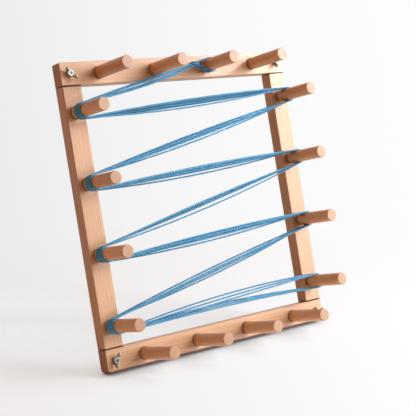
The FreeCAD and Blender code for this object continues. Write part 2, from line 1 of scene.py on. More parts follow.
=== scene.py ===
# %% [markdown]
# # A small warping board, dressed for its portrait
# A warping board is an open wooden frame with pegs, on which a weaver measures out warp threads.
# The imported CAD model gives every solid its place. This lesson adds what the eye looks for: the
# grain of the wood, the skin of the zinc, the twist of the yarn, and then the light and the camera.

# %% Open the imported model
import bmesh
import bpy
import math
from mathutils import Matrix, Vector


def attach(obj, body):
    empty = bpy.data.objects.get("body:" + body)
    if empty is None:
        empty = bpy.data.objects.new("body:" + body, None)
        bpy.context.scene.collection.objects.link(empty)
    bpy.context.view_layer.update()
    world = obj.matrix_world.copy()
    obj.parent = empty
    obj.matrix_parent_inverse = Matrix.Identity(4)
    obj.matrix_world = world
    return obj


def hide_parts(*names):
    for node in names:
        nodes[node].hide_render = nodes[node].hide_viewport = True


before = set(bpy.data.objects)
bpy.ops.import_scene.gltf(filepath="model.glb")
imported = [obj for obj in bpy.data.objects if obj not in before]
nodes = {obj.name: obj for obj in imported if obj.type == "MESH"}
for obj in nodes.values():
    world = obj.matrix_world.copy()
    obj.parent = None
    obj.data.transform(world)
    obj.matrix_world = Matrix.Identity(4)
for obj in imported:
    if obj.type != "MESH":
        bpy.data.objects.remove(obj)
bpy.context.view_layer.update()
MM = 0.001

# %% [markdown]
# ## A small kit for materials
# Every finish here is a graph of nodes. The same few moves come up each time: add a node with its
# values, join two sockets, blend two colours, do a sum, and stretch a pattern along one direction.
# Each is written once, so that a finish below reads like a recipe.

# %% Helpers that start a finish, add a node and join sockets
def new_finish(name):
    """Start a material and return it with its node tree and its surface shader."""
    material = bpy.data.materials.new(name)
    material.use_nodes = True
    tree = material.node_tree
    return material, tree, tree.nodes["Principled BSDF"]


def add(tree, kind, settings=None, **values):
    """Add a node, set its options and give numbers or colours to its input sockets."""
    node = tree.nodes.new("ShaderNode" + kind)
    for option, choice in (settings or {}).items():
        setattr(node, option, choice)
    for socket, value in values.items():
        node.inputs[socket.replace("_", " ")].default_value = value
    return node


def join(tree, source, target):
    """Link an output socket to an input socket."""
    tree.links.new(source, target)


def feed(tree, value, target):
    """Give an input socket its value, which is another socket or a plain number or colour."""
    if isinstance(value, bpy.types.NodeSocket):
        join(tree, value, target)
    else:
        target.default_value = value


def tell(material):
    """Print how many nodes a finish has."""
    print("finish", material.name, "with", len(material.node_tree.nodes), "nodes")
    return material


# %% Helpers for colours
MIX_FACTOR, MIX_FIRST, MIX_SECOND, MIX_RESULT = 0, 6, 7, 2


def linear(red, green, blue):
    """Give the linear values of a colour that was picked from 0 to 255."""
    return tuple(((value / 255 + 0.055) / 1.055) ** 2.4 for value in (red, green, blue))


def ramp(tree, factor, *stops):
    """Turn a number into a colour through stops of (position, colour)."""
    node = add(tree, "ValToRGB")
    elements = node.color_ramp.elements
    while len(elements) < len(stops):
        elements.new(0.5)
    for element, (position, colour) in zip(elements, stops):
        element.position = position
        element.color = (*colour, 1)
    join(tree, factor, node.inputs["Fac"])
    return node.outputs["Color"]


def blend(tree, kind, factor, first, second):
    """Mix two colours. The Mix node has sockets for each sort of value, so these go by number."""
    node = add(tree, "Mix", {"data_type": "RGBA", "blend_type": kind})
    feed(tree, factor, node.inputs[MIX_FACTOR])
    feed(tree, first, node.inputs[MIX_FIRST])
    feed(tree, second, node.inputs[MIX_SECOND])
    return node.outputs[MIX_RESULT]


print("a picked grey of 128 is", round(linear(128, 128, 128)[0], 3), "in linear light")

# %% Helpers for sums and patterns
WAVE_SPAN = math.tau / 20


def sum_up(tree, operation, first, second=0.0):
    """Do one sum on two numbers or sockets."""
    node = add(tree, "Math", {"operation": operation})
    feed(tree, first, node.inputs[0])
    feed(tree, second, node.inputs[1])
    return node.outputs[0]


def dot(tree, first, second):
    """Multiply two vectors into one number; the second may be a plain vector."""
    node = add(tree, "VectorMath", {"operation": "DOT_PRODUCT"})
    join(tree, first, node.inputs[0])
    feed(tree, second, node.inputs[1])
    return node.outputs["Value"]


def remap(tree, value, low, high, new_low=0.0, new_high=1.0):
    """Move a number from one range to another, softly and within its ends."""
    node = add(tree, "MapRange", {"interpolation_type": "SMOOTHSTEP"},
               From_Min=low, From_Max=high, To_Min=new_low, To_Max=new_high)
    join(tree, value, node.inputs["Value"])
    return node.outputs["Result"]


def stretched(tree, place, grain, amount):
    """Squeeze the coordinates along the grain, so that patterns on them come out long."""
    scale = [amount if axis == grain else 1 for axis in "XYZ"]
    node = add(tree, "Mapping", Scale=scale)
    join(tree, place, node.inputs["Vector"])
    return node.outputs["Vector"]


def noise(tree, place, scale, detail=2.0, roughness=0.5):
    """Sample a noise and return its value."""
    node = add(tree, "TexNoise", Scale=scale, Detail=detail, Roughness=roughness)
    join(tree, place, node.inputs["Vector"])
    return node.outputs["Fac"]


print("a wave texture of scale 1 repeats each", round(WAVE_SPAN, 3), "m")

# %% [markdown]
# ## Beech
# The bars and pegs are beech: pale pinkish tan, with faint growth rings, very fine fibres and the
# short dark flecks that give beech away. An image of wood would show seams at every edge. A solid
# pattern doesn't, because it fills space and each face simply cuts through it: stripes along a
# face and rings on the end grain come out by themselves. So the rings are a wave round an axis
# that runs along the grain, and all finer figure is noise that is stretched along the grain.

# %% Draw the growth rings
RING_WIDTH = 6.0


def growth_rings(tree, place, grain, heart, light, dark, ring_width, wander):
    """Colour the wood by rings round the tree's heart, which runs along the grain."""
    centred = add(tree, "Mapping", Location=[-value for value in heart])
    join(tree, place, centred.inputs["Vector"])
    rings = add(tree, "TexWave", {"wave_type": "RINGS", "rings_direction": grain},
                Scale=WAVE_SPAN / (ring_width * MM), Distortion=wander, Detail=2.0,
                Detail_Scale=ring_width * 0.066, Detail_Roughness=0.4)
    join(tree, stretched(tree, centred.outputs["Vector"], grain, 0.1), rings.inputs["Vector"])
    return ramp(tree, rings.outputs["Fac"], (0.1, light), (0.8, dark), (1.0, light))


print("rings of", RING_WIDTH, "mm need a wave scale of", round(WAVE_SPAN / (RING_WIDTH * MM), 1))

# %% [markdown]
# ## Edges, ends and sides of a stick
# Wear makes edges pale, and end grain is darker and shows its pores. Side faces get painted shade:
# they are made browner, as if less light fell on them. All three could be painted by hand, but they
# can also be told from the way a spot faces. On a flat face the normal points straight along one
# axis, so the squares of its three parts are 1, 0 and 0.
# Round an edge the squares are shared between axes, and the sum of the fourth powers falls.

# %% Find the worn edges, the end grain and the side faces
def face_masks(tree, grain):
    """Find the rounded edges and the end grain by the way each spot faces."""
    facing = add(tree, "TexCoord").outputs["Normal"]
    squares = add(tree, "VectorMath", {"operation": "MULTIPLY"})
    join(tree, facing, squares.inputs[0])
    join(tree, facing, squares.inputs[1])
    fourth_powers = dot(tree, squares.outputs["Vector"], squares.outputs["Vector"])
    end = dot(tree, squares.outputs["Vector"], [float(axis == grain) for axis in "XYZ"])
    return remap(tree, fourth_powers, 0.95, 0.55), remap(tree, end, 0.4, 0.9)


def side_shade_mask(tree):
    """Find the faces that look to the left or right, which get painted shade."""
    facing = dot(tree, add(tree, "TexCoord").outputs["Normal"], (1, 0, 0))
    return remap(tree, sum_up(tree, "ABSOLUTE", facing), 0.5, 0.9)


edge_way = Vector((1, 1, 0)).normalized()
print("fourth powers halfway round an edge:", round(sum(part ** 4 for part in edge_way), 2))

# %% Mix the beech
CLOUD_SCALE, FIBRE_SCALE, FLECK_SCALE = 22, 800, 1900
CLOUD_STOPS = (0.3, (0.93, 0.9, 0.87)), (0.7, (1.05, 1.05, 1.06))
FIBRE_STOPS = (0.3, (0.88, 0.84, 0.8)), (0.6, (1.03, 1.03, 1.03))
FIBRE_SHARE, PORE_SHARE, FLECK_SHARE, FLECK_TONE = 0.6, 0.8, 0.45, 0.4
# The seam tone darkens joint lines and paints shade at the feet of the pegs and the bottom rail
WORN_TONE, SEAM_SHADE_TONE = (1.12, 1.12, 1.1, 1), (0.2, 0.11, 0.08, 1)
RAIL_END_TONE, RAIL_END_MATT = (0.58, 0.46, 0.38), 0.12


def beech(name, grain, heart, light, dark, ring_width=RING_WIDTH, wander=9.0,
          end_tone=RAIL_END_TONE, end_matt=RAIL_END_MATT, side_shade_tone=None, seam_and_shade=None):
    """Make a beech finish with the grain along an axis and the tree's heart at a point."""
    material, tree, shader = new_finish(name)
    place = add(tree, "TexCoord").outputs["Object"]
    edge, end = face_masks(tree, grain)

    # Rings, and broad clouds over them
    colour = growth_rings(tree, place, grain, heart, light, dark, ring_width, wander)
    clouds = noise(tree, stretched(tree, place, grain, 0.15), CLOUD_SCALE, 3)
    colour = blend(tree, "MULTIPLY", 1.0, colour, ramp(tree, clouds, *CLOUD_STOPS))

    # Fine fibres and short dark flecks
    fibres = noise(tree, stretched(tree, place, grain, 0.02), FIBRE_SCALE, 4, 0.6)
    fibre_tone = ramp(tree, fibres, *FIBRE_STOPS)
    colour = blend(tree, "MULTIPLY", FIBRE_SHARE, colour, fibre_tone)
    flecks = noise(tree, stretched(tree, place, grain, 0.3), FLECK_SCALE, 1, 0.4)
    fleck_mask = remap(tree, flecks, 0.66, 0.72)
    fleck_colour = (*(value * FLECK_TONE for value in dark), 1)
    fleck_share = sum_up(tree, "MULTIPLY", fleck_mask, FLECK_SHARE)
    colour = blend(tree, "MIX", fleck_share, colour, fleck_colour)

    # End grain with its pores, worn edges, painted shade on side faces, and seams with painted
    # shade
    pores = sum_up(tree, "MULTIPLY", end, PORE_SHARE)
    colour = blend(tree, "MULTIPLY", pores, colour, fibre_tone)
    colour = blend(tree, "MULTIPLY", end, colour, (*end_tone, 1))
    worn = sum_up(tree, "MULTIPLY", edge, remap(tree, clouds, 0.35, 0.6, 0.25, 0.8))
    colour = blend(tree, "MULTIPLY", worn, colour, WORN_TONE)
    # Side faces that look left or right are made browner: painted shade
    if side_shade_tone:
        colour = blend(tree, "MULTIPLY", side_shade_mask(tree), colour, (*side_shade_tone, 1))
    # Dark joint lines with painted shade, and painted shade at the feet
    if seam_and_shade:
        colour = blend(tree, "MULTIPLY", seam_and_shade(tree, place), colour, SEAM_SHADE_TONE)
    join(tree, colour, shader.inputs["Base Color"])

    # The gloss: fibres vary it, end grain has its own, and wear polishes the edges
    matt = remap(tree, fibres, 0.3, 0.7, 0.36, 0.47)
    matt = sum_up(tree, "ADD", matt, sum_up(tree, "MULTIPLY", end, end_matt))
    matt = sum_up(tree, "SUBTRACT", matt, sum_up(tree, "MULTIPLY", worn, 0.08))
    join(tree, matt, shader.inputs["Roughness"])

    # The relief: fibres stand up a little and flecks lie deeper
    height = sum_up(tree, "SUBTRACT", fibres, sum_up(tree, "MULTIPLY", fleck_mask, 0.5))
    bump = add(tree, "Bump", Strength=0.3, Distance=0.12 * MM)
    join(tree, height, bump.inputs["Height"])
    join(tree, bump.outputs["Normal"], shader.inputs["Normal"])
    return tell(material)


# %% [markdown]
# ## Seams and painted shade
# Where two pieces of wood meet, a hand-made frame shows a thin dark line: partly the joint itself,
# partly painted shade in the gap. A peg gets painted shade at its foot, and the bottom rail gets a
# painted contact shadow along the foot on which the board stands. The CAD gap is too fine to carry
# the seams alone. Object coordinates are the board's own places, so each of these is just a soft
# band at the right height, width or depth. For that the sizes of the bars are needed: two rails run
# the full width, and two stiles stand between.

# %% Write down the sizes of the bars
BOARD_WIDTH, BOARD_HEIGHT, BAR_THICKNESS = 420 * MM, 444 * MM, 20 * MM
RAIL_HEIGHT, STILE_WIDTH, SHOULDER_GAP = 34 * MM, 31 * MM, 0.5 * MM
FRONT = -BAR_THICKNESS / 2
MID_HEIGHT = BOARD_HEIGHT / 2
RAIL_EDGE = MID_HEIGHT - RAIL_HEIGHT
STILE_MIDDLE = (BOARD_WIDTH - STILE_WIDTH) / 2
print("opening between the rails:", round(2 * RAIL_EDGE / MM, 1), "mm")

# %% Darken the joints, and paint shade at the feet of the pegs and the board
def offset_from(tree, place, axis, middle, half):
    """Give the distance of each spot from a pair of planes that lie half off a middle."""
    value = dot(tree, place, [float(name == axis) for name in "XYZ"])
    off = sum_up(tree, "ABSOLUTE", sum_up(tree, "SUBTRACT", value, middle))
    return sum_up(tree, "ABSOLUTE", sum_up(tree, "SUBTRACT", off, half))


def stile_joint_shade(tree, place):
    """Darken the ends of the stiles where they meet the rails: a joint line with painted shade."""
    off = offset_from(tree, place, "Z", MID_HEIGHT, RAIL_EDGE - SHOULDER_GAP)
    return remap(tree, off, 1.9 * MM, 0.4 * MM)


def rail_joint_and_foot_shade(tree, place):
    """Paint shade at the rails' joints over the stiles, and a contact shadow along the board's
    foot.
    """
    off = offset_from(tree, place, "Z", MID_HEIGHT, RAIL_EDGE)
    close = remap(tree, off, 1.6 * MM, 0.4 * MM)
    off_stile = offset_from(tree, place, "X", 0.0, STILE_MIDDLE)
    over_stile = remap(tree, off_stile, STILE_WIDTH / 2 + 1 * MM, STILE_WIDTH / 2)
    # A painted contact shadow along the foot on which the board stands
    foot = remap(tree, dot(tree, place, (0, 0, 1)), 3.8 * MM, 1.8 * MM)
    return sum_up(tree, "MAXIMUM", foot, sum_up(tree, "MULTIPLY", close, over_stile))


def peg_foot_shade(tree, place):
    """Paint shade on the pegs where they come out of their holes: a wide soft band and a thin one.
    """
    depth = dot(tree, place, (0, 1, 0))
    wide = remap(tree, depth, FRONT - 9 * MM, FRONT - 1 * MM, 0, 0.5)
    thin = remap(tree, depth, FRONT - 2.2 * MM, FRONT - 0.2 * MM, 0, 0.5)
    return sum_up(tree, "ADD", wide, thin)


# %% Choose the browns
RAIL_LIGHT, RAIL_DARK = linear(206, 166, 128), linear(196, 152, 112)
STILE_LIGHT, STILE_DARK = linear(203, 162, 125), linear(193, 148, 108)
PEG_LIGHT, PEG_DARK = linear(211, 158, 111), linear(197, 140, 93)
RAIL_HEART, STILE_HEART, PEG_HEART = (0, 0.07, 0.1), (0.05, 0.09, 0), (0.09, 0, 0.31)

rail_beech = beech("beech_rails", "X", RAIL_HEART, RAIL_LIGHT, RAIL_DARK, seam_and_shade=rail_joint_and_foot_shade)
# The stiles' side faces are made browner and darker: painted shade
stile_beech = beech("beech_stiles", "Z", STILE_HEART, STILE_LIGHT, STILE_DARK,
                    side_shade_tone=(0.87, 0.75, 0.62), seam_and_shade=stile_joint_shade)
peg_beech = beech("beech_pegs", "Y", PEG_HEART, PEG_LIGHT, PEG_DARK, ring_width=2.4, wander=14.0,
                  end_tone=(0.68, 0.78, 0.95), end_matt=-0.03, seam_and_shade=peg_foot_shade)

# %% Dress the bars and the pegs
def dress(node_name, material):
    """Give a CAD node its finish."""
    slots = nodes[node_name].data.materials
    for index in range(len(slots)):
        slots[index] = material


for bar in ("top_bar", "bottom_bar"):
    dress(bar, rail_beech)
for bar in ("left_bar", "right_bar"):
    dress(bar, stile_beech)
pegs = sorted(name for name in nodes if name.startswith("peg_"))
for peg in pegs:
    dress(peg, peg_beech)
print("pegs dressed:", len(pegs))

# %% [markdown]
# ## Zinc
# Bolts, washers and wing nuts are zinc plated steel: a cool grey coat that is bright but cloudy,
# and never quite smooth. One noise makes the clouds and sets both colour and gloss, because a
# duller spot is also a rougher one. Next to the wood the coat is darker. The screw threads could be
# modelled, but they are too fine to be worth it: a wave along the bolt raises them in the bump.

# %% Plate the hardware
THREAD_PITCH = 0.8 * MM
NEAR_WOOD_TONE = (0.4, 0.36, 0.32, 1)


def zinc(name, pale, dull, threaded=False):
    """Make a cloudy zinc plate with slight bumps, darker where it meets the wood."""
    material, tree, shader = new_finish(name)
    shader.inputs["Metallic"].default_value = 1
    place = add(tree, "TexCoord").outputs["Object"]
    depth = dot(tree, place, (0, 1, 0))

    clouds = noise(tree, place, 380, 4, 0.65)
    tone = ramp(tree, clouds, (0.32, dull), (0.66, pale))
    # The coat is made darker next to the wood
    near_front = remap(tree, depth, FRONT - 2.4 * MM, FRONT - 0.4 * MM)
    not_behind = remap(tree, depth, 5 * MM, 3 * MM)
    near_wood = sum_up(tree, "MULTIPLY", near_front, not_behind)
    tone = blend(tree, "MULTIPLY", near_wood, tone, NEAR_WOOD_TONE)
    join(tree, tone, shader.inputs["Base Color"])
    join(tree, remap(tree, clouds, 0.3, 0.7, 0.46, 0.36), shader.inputs["Roughness"])

    height = sum_up(tree, "ADD", noise(tree, place, 1500), noise(tree, place, 420, 1))
    if threaded:
        thread = add(tree, "TexWave", {"bands_direction": "Y"}, Scale=WAVE_SPAN / THREAD_PITCH)
        join(tree, place, thread.inputs["Vector"])
        shank = remap(tree, depth, 3 * MM, 1 * MM)
        ridges = sum_up(tree, "MULTIPLY", thread.outputs["Fac"], shank)
        height = sum_up(tree, "ADD", height, sum_up(tree, "MULTIPLY", ridges, 3.0))
    bump = add(tree, "Bump", Strength=0.3, Distance=0.7 * MM)
    join(tree, height, bump.inputs["Height"])
    join(tree, bump.outputs["Normal"], shader.inputs["Normal"])
    return tell(material)


zinc_plate = zinc("zinc_plate", (0.48, 0.475, 0.46), (0.24, 0.235, 0.225))
zinc_bolt = zinc("zinc_bolt", (0.15, 0.145, 0.135), (0.07, 0.068, 0.064), threaded=True)
bolts = [name for name in nodes if name.startswith("bolt_")]
nuts_and_washers = [name for name in nodes if name.startswith(("washer_", "wing_nut_"))]
for bolt in bolts:
    dress(bolt, zinc_bolt)
for piece in nuts_and_washers:
    dress(piece, zinc_plate)
print("bolts:", len(bolts), "nuts and washers:", len(nuts_and_washers))

# %% [markdown]
# ## The way of the warp
# One thread goes from the third top peg down the zigzag to the last right peg and back again,
# three times. Each passage is a lane. On the board the thread is held at each peg and hangs a
# little in between, so its way is a list of places with a direction: where it meets a peg, quarter
# turns round the peg, and where it leaves. A list of all its points would be long and hard to
# change. A few sizes, and how far each strand hangs, say the same.

# %% Find the pegs that the thread goes round
PEG_DIAMETER, PEGS_PER_BAR = 19 * MM, 4
RAIL_PEG_MARGIN, STILE_PEG_HEAD, STILE_PEG_FOOT = 65.1 * MM, 39.25 * MM, 31.65 * MM
RAIL_PEG_PITCH = (BOARD_WIDTH - 2 * RAIL_PEG_MARGIN) / (PEGS_PER_BAR - 1)
STILE_PEG_PITCH = (2 * RAIL_EDGE - STILE_PEG_HEAD - STILE_PEG_FOOT) / (PEGS_PER_BAR - 1)
# The third top peg from the left
FIRST_PEG = (-BOARD_WIDTH / 2 + RAIL_PEG_MARGIN + 2 * RAIL_PEG_PITCH,
             BOARD_HEIGHT - RAIL_HEIGHT / 2)
ZIGZAG = [(side, number) for number in range(PEGS_PER_BAR) for side in ("left", "right")]


def peg_spot(side, number):
    """Give a side peg's axis as (x, z), counted from the top."""
    across = STILE_MIDDLE if side == "right" else -STILE_MIDDLE
    return across, BOARD_HEIGHT - RAIL_HEIGHT - STILE_PEG_HEAD - STILE_PEG_PITCH * number


print("the zigzag goes:", [f"{side} {number + 1}" for side, number in ZIGZAG])

# %% Sizes of the thread and its lanes
# The thread, and how far apart its lanes lie along a peg
YARN = 2.1 * MM
ROUND_TRIPS = 3
LANES = 2 * ROUND_TRIPS
WRAP_RADIUS = (PEG_DIAMETER + YARN) / 2 + 0.3 * MM
LANE_PITCH = 2.6 * MM
# How far a band of lanes stands off the front face, and how much nearer it is peg by peg
BAND_MIDDLE = {"left": (20.5 * MM, 2 * MM), "right": (15 * MM, 0.8 * MM)}
# The same on the first peg, where the thread leaves it and where it comes back
TOP_LEAVE, TOP_ENTER = 8 * MM, 14.5 * MM
# The two rows into which the strands are gathered beside the first peg
GATHER_DEPTH, GATHER_PITCH, GATHER_ROWS = 14 * MM, 1.35 * MM, 2.3 * MM
GATHER_DISTANCE, GATHER_DROP, GATHER_EASE, GATHER_BEND = 28 * MM, 2.5 * MM, 3 * MM, 6 * MM
# The two loose ends
LOOSE_START, LOOSE_END, LOOSE_BEND = 13 * MM, 5 * MM, math.radians(18)
print("lanes:", LANES, "wrap radius on a peg:", round(WRAP_RADIUS / MM, 2), "mm")

# %% Say how far each strand rises or hangs on its way, in millimetres
FIRST_LEG_RISES = [0.1, -4.4, 1.1, -3.2, -1.0, -5.8]
MIDDLE_LEG_RISES = [-7.2, 4.2, -2.6, 1.4, -0.8, 3.0]
LAST_LEG_RISES = [8.8, 8.5, 4.5, 6.2, 0.6, 4.0]


def rise(leg, lane):
    """Give how far a strand stands over its taut line in the middle of a leg."""
    if leg == 0:
        return FIRST_LEG_RISES[lane] * MM
    if leg == len(ZIGZAG) - 1:
        return LAST_LEG_RISES[lane] * MM
    return MIDDLE_LEG_RISES[(lane + 2 * leg) % LANES] * MM


print("strands hang up to", -min(FIRST_LEG_RISES + MIDDLE_LEG_RISES), "mm below their taut line")

# %% Circles that the thread goes round, and straight leads between them
class Stop:
    """A circle that the yarn goes round, with the depths at which it comes and goes."""

    def __init__(self, centre, radius, sense, enter, leave=None):
        self.x, self.z = centre
        self.radius = radius
        self.sense = sense
        self.enter = enter
        self.leave = enter if leave is None else leave

    def point(self, heading, depth):
        """Give the point where the yarn, going round, has this heading."""
        angle = heading - self.sense * math.pi / 2
        return Vector((self.x + self.radius * math.cos(angle), depth,
                       self.z + self.radius * math.sin(angle)))


def way_of(heading, slope):
    """Give the unit vector of a heading in the board's plane with a drift along Y."""
    return Vector((math.cos(heading), slope, math.sin(heading))).normalized()


def upward(heading):
    """Give the unit vector in the board's plane that is square to a heading."""
    return Vector((math.sin(heading), 0, -math.cos(heading)))


def taut_heading(first, second):
    """Give the heading of the straight line that leaves one circle and meets the next."""
    across, up = second.x - first.x, second.z - first.z
    offset = first.sense * first.radius - second.sense * second.radius
    return math.atan2(up, across) + math.asin(offset / math.hypot(across, up))


def run_ends(first, second, lift):
    """Give both ends of a run as point, heading and slope, its middle raised by the lift."""
    heading = taut_heading(first, second)
    length = (second.point(heading, 0) - first.point(heading, 0)).length
    bow = math.copysign(4 * lift / length, lift * math.cos(heading))
    slope = (second.enter - first.leave) / length
    return ((first.point(heading + bow, first.leave), heading + bow, slope),
            (second.point(heading - bow, second.enter), heading - bow, slope))


# %% Turns round a circle
QUARTER_TURN = math.pi / 2


def wrap(stop, arrival, departure):
    """Follow a circle from one heading to the next in steps of about a quarter turn."""
    start, arrival_heading, arrival_slope = arrival
    end, last_heading, last_slope = departure
    first_way = way_of(arrival_heading, arrival_slope)
    last_way = way_of(last_heading, last_slope)
    if stop.radius == 0:
        return [(start - first_way * GATHER_EASE, first_way),
                (end + last_way * GATHER_EASE, last_way)]
    turn = (last_heading - arrival_heading) * stop.sense % math.tau
    count = math.ceil(turn / QUARTER_TURN - 0.1)
    climb = (stop.leave - stop.enter) / (stop.radius * turn)
    steps = [(start, first_way)]
    for index in range(1, count):
        heading = arrival_heading + stop.sense * turn * index / count
        depth = stop.enter + (stop.leave - stop.enter) * index / count
        steps.append((stop.point(heading, depth), way_of(heading, climb)))
    return steps + [(end, last_way)]


print("a quarter turn takes", round(QUARTER_TURN * WRAP_RADIUS / MM, 1), "mm of yarn")

# %% The stops of each lane
def lane_depth(middle, lane, middle_lane, pitch):
    """Give the depth of one lane in a band whose middle stands off the front face."""
    return FRONT - middle - (lane - middle_lane) * pitch


def side_stop(spot, sense, enter_lane, leave_lane):
    """Give the yarn's circle round one of the side pegs."""
    side, number = spot
    middle, step = BAND_MIDDLE[side]
    depths = [lane_depth(middle - step * number, lane, ROUND_TRIPS - 0.5, LANE_PITCH)
              for lane in (enter_lane, leave_lane)]
    return Stop(peg_spot(side, number), WRAP_RADIUS, sense, *depths)


def top_stop(lane):
    """Give the yarn's circle round the first peg, from one lane to the next."""
    return Stop(FIRST_PEG, WRAP_RADIUS, 1,
                lane_depth(TOP_ENTER, lane - 1, ROUND_TRIPS - 2, LANE_PITCH),
                lane_depth(TOP_LEAVE, lane, ROUND_TRIPS - 1, LANE_PITCH))


first_heading = taut_heading(top_stop(0), side_stop(ZIGZAG[0], 1, 0, 0))
gathered = (top_stop(0).point(first_heading, 0)
            + way_of(first_heading, 0) * GATHER_DISTANCE
            - upward(first_heading) * GATHER_DROP)


def gather_stop(lane):
    """Give the bend of a strand where all are gathered into two rows: none in the upper one."""
    outgoing = lane % 2 == 0
    row = GATHER_ROWS / 2 if outgoing else -GATHER_ROWS / 2
    radius = 0 if outgoing else GATHER_BEND
    centre = gathered + upward(first_heading) * (row - radius)
    depth = lane_depth(GATHER_DEPTH, lane, ROUND_TRIPS - 1, GATHER_PITCH)
    return Stop((centre.x, centre.z), radius, 1 if outgoing else -1, depth)


print("the strands are gathered at", [round(value / MM, 1) for value in gathered], "mm")

# %% Join the stops into one thread
def turning(spot):
    """Give the sense of an outward turn: one way on left pegs and the other way on right ones."""
    return 1 if spot[0] == "left" else -1


def lane_stops(lane):
    """List the stops of one lane with the rise of the run that leads to each."""
    if lane % 2 == 0:
        stops = [(top_stop(lane), 0), (gather_stop(lane), 0)]
        for leg, spot in enumerate(ZIGZAG):
            leave = lane + 1 if spot == ZIGZAG[-1] else lane
            stops.append((side_stop(spot, turning(spot), lane, leave), rise(leg, lane)))
        return stops
    stops = []
    for leg in range(len(ZIGZAG) - 1, 0, -1):
        spot = ZIGZAG[leg - 1]
        stops.append((side_stop(spot, -turning(spot), lane, lane), rise(leg, lane)))
    return stops + [(gather_stop(lane), rise(0, lane))]


def droop():
    """Give the angle by which the gathered strands hang below their taut line."""
    mean_rise = sum(FIRST_LEG_RISES) / len(FIRST_LEG_RISES) * MM
    return -4 * mean_rise / abs(FIRST_PEG[0] - peg_spot(*ZIGZAG[0])[0])


def warp_lanes():
    """Give the whole thread as one list of places with directions for each lane."""
    here = gather_stop(-1)
    heading = first_heading - math.pi + droop()
    start, way = here.point(heading, here.enter), way_of(heading, 0)
    arrival = (start, heading, 0)
    lane_steps = [(start - way * LOOSE_START, way)]
    lanes = []
    for lane in range(LANES):
        for stop, lift in lane_stops(lane):
            departure, next_arrival = run_ends(here, stop, lift)
            lane_steps += wrap(here, arrival, departure)
            here, arrival = stop, next_arrival
        lanes.append(lane_steps)
        lane_steps = [lane_steps[-1]]
    heading = arrival[1] - LOOSE_BEND
    end, way = here.point(heading, here.leave), way_of(heading, 0)
    lanes[-1] += wrap(here, arrival, (end, heading, 0)) + [(end + way * LOOSE_END, way)]
    return lanes


lanes = warp_lanes()
print("lanes:", len(lanes), "places:", sum(len(lane) for lane in lanes))

# %% [markdown]
# ## From places to even points
# A Bezier spline with a handle each way at every place follows the round of a peg closely, and
# Blender can flatten it to points. Those come close together in the turns and far apart in the
# long runs, but a twist needs them evenly spaced, so a second pass walks along them and sets
# points at one small step.

# %% Follow the places with a smooth line
RING_STEP = 0.6 * MM
SPLINE_STEPS = 14
LEAST_TURN = 1e-4


def flatten(curve):
    """Turn a curve into a mesh: a line of points, or a tube where it has a section."""
    holder = bpy.data.objects.new("holder", curve)
    bpy.context.scene.collection.objects.link(holder)
    evaluated = holder.evaluated_get(bpy.context.evaluated_depsgraph_get())
    mesh = bpy.data.meshes.new_from_object(evaluated)
    bpy.data.objects.remove(holder)
    return mesh


def smooth_points(steps):
    """Thread a Bezier spline through places with directions and read back close points."""
    curve = bpy.data.curves.new("way", "CURVE")
    curve.dimensions = "3D"
    curve.resolution_u = SPLINE_STEPS
    spline = curve.splines.new("BEZIER")
    spline.bezier_points.add(len(steps) - 1)
    for point, (place, _) in zip(spline.bezier_points, steps):
        point.co = place
        point.handle_left_type = point.handle_right_type = "FREE"
        point.handle_left = point.handle_right = place
    for index in range(len(steps) - 1):
        (here, here_way), (there, there_way) = steps[index], steps[index + 1]
        turn = max(here_way.angle(there_way), LEAST_TURN)
        reach = (there - here).length * 2 / 3 * math.tan(turn / 4) / math.sin(turn / 2)
        spline.bezier_points[index].handle_right = here + here_way * reach
        spline.bezier_points[index + 1].handle_left = there - there_way * reach
    mesh = flatten(curve)
    return [vertex.co.copy() for vertex in mesh.vertices]


def even_points(points, step):
    """Space points evenly along a line of close points, and measure the line."""
    length = sum((b - a).length for a, b in zip(points, points[1:]))
    count = round(length / step)
    spacing = length / count
    spaced, travelled = [points[0]], 0.0
    for a, b in zip(points, points[1:]):
        span = (b - a).length
        while len(spaced) < count and spacing * len(spaced) <= travelled + span:
            spaced.append(a.lerp(b, (spacing * len(spaced) - travelled) / span))
        travelled += span
    return spaced + [points[-1]], length


# %% [markdown]
# ## Three plies laid together
# The yarn is three thinner threads twisted round each other. Three tubes that really cross would
# cut into one another, and would take three times the faces. So one tube has a section with three
# bulges, and the tilt of the curve's points turns it as it goes along. Blender doesn't take a tilt
# past sixty turns, and these lanes have hundreds, so each point gets only its part of one turn.

# %% Draw the section of the yarn
SECTION_POINTS = 12
PLY_BULGE = (1.25, 1.2, 1.1, 1.2)


def trefoil():
    """Draw the section of three plies as a closed flat curve."""
    curve = bpy.data.curves.new("trefoil", "CURVE")
    spline = curve.splines.new("POLY")
    spline.points.add(SECTION_POINTS - 1)
    for index, point in enumerate(spline.points):
        angle = math.tau * index / SECTION_POINTS
        radius = YARN / 2 * PLY_BULGE[index % len(PLY_BULGE)]
        point.co = (radius * math.cos(angle), radius * math.sin(angle), 0, 1)
    spline.use_cyclic_u = True
    section = bpy.data.objects.new("trefoil", curve)
    bpy.context.scene.collection.objects.link(section)
    return section


ply_section = trefoil()
print("plies:", SECTION_POINTS // len(PLY_BULGE))

# %% Spin a length of yarn
PLY_TURN = 5.6 * MM
SWELLS = ((0.04, 6.1 * MM), (0.03, 14.7 * MM))


def swell(travelled):
    """Give how much thicker or thinner the yarn is here, because no spun yarn is quite even."""
    return sum(share * math.sin(travelled / pace) for share, pace in SWELLS)


def mark_plies(mesh, spacing):
    """Note for each vertex how far out on its ply it is, and its place in the untwisted yarn."""
    bulges = mesh.attributes.new("ply", "FLOAT", "POINT")
    places = mesh.attributes.new("fibre", "FLOAT_VECTOR", "POINT")
    hollow, crown = min(PLY_BULGE), max(PLY_BULGE)
    for index in range(len(mesh.vertices)):
        ring, corner = divmod(index, SECTION_POINTS)
        angle = math.tau * corner / SECTION_POINTS
        bulges.data[index].value = (PLY_BULGE[corner % len(PLY_BULGE)] - hollow) / (crown - hollow)
        places.data[index].vector = (ring * spacing, math.cos(angle) * MM, math.sin(angle) * MM)


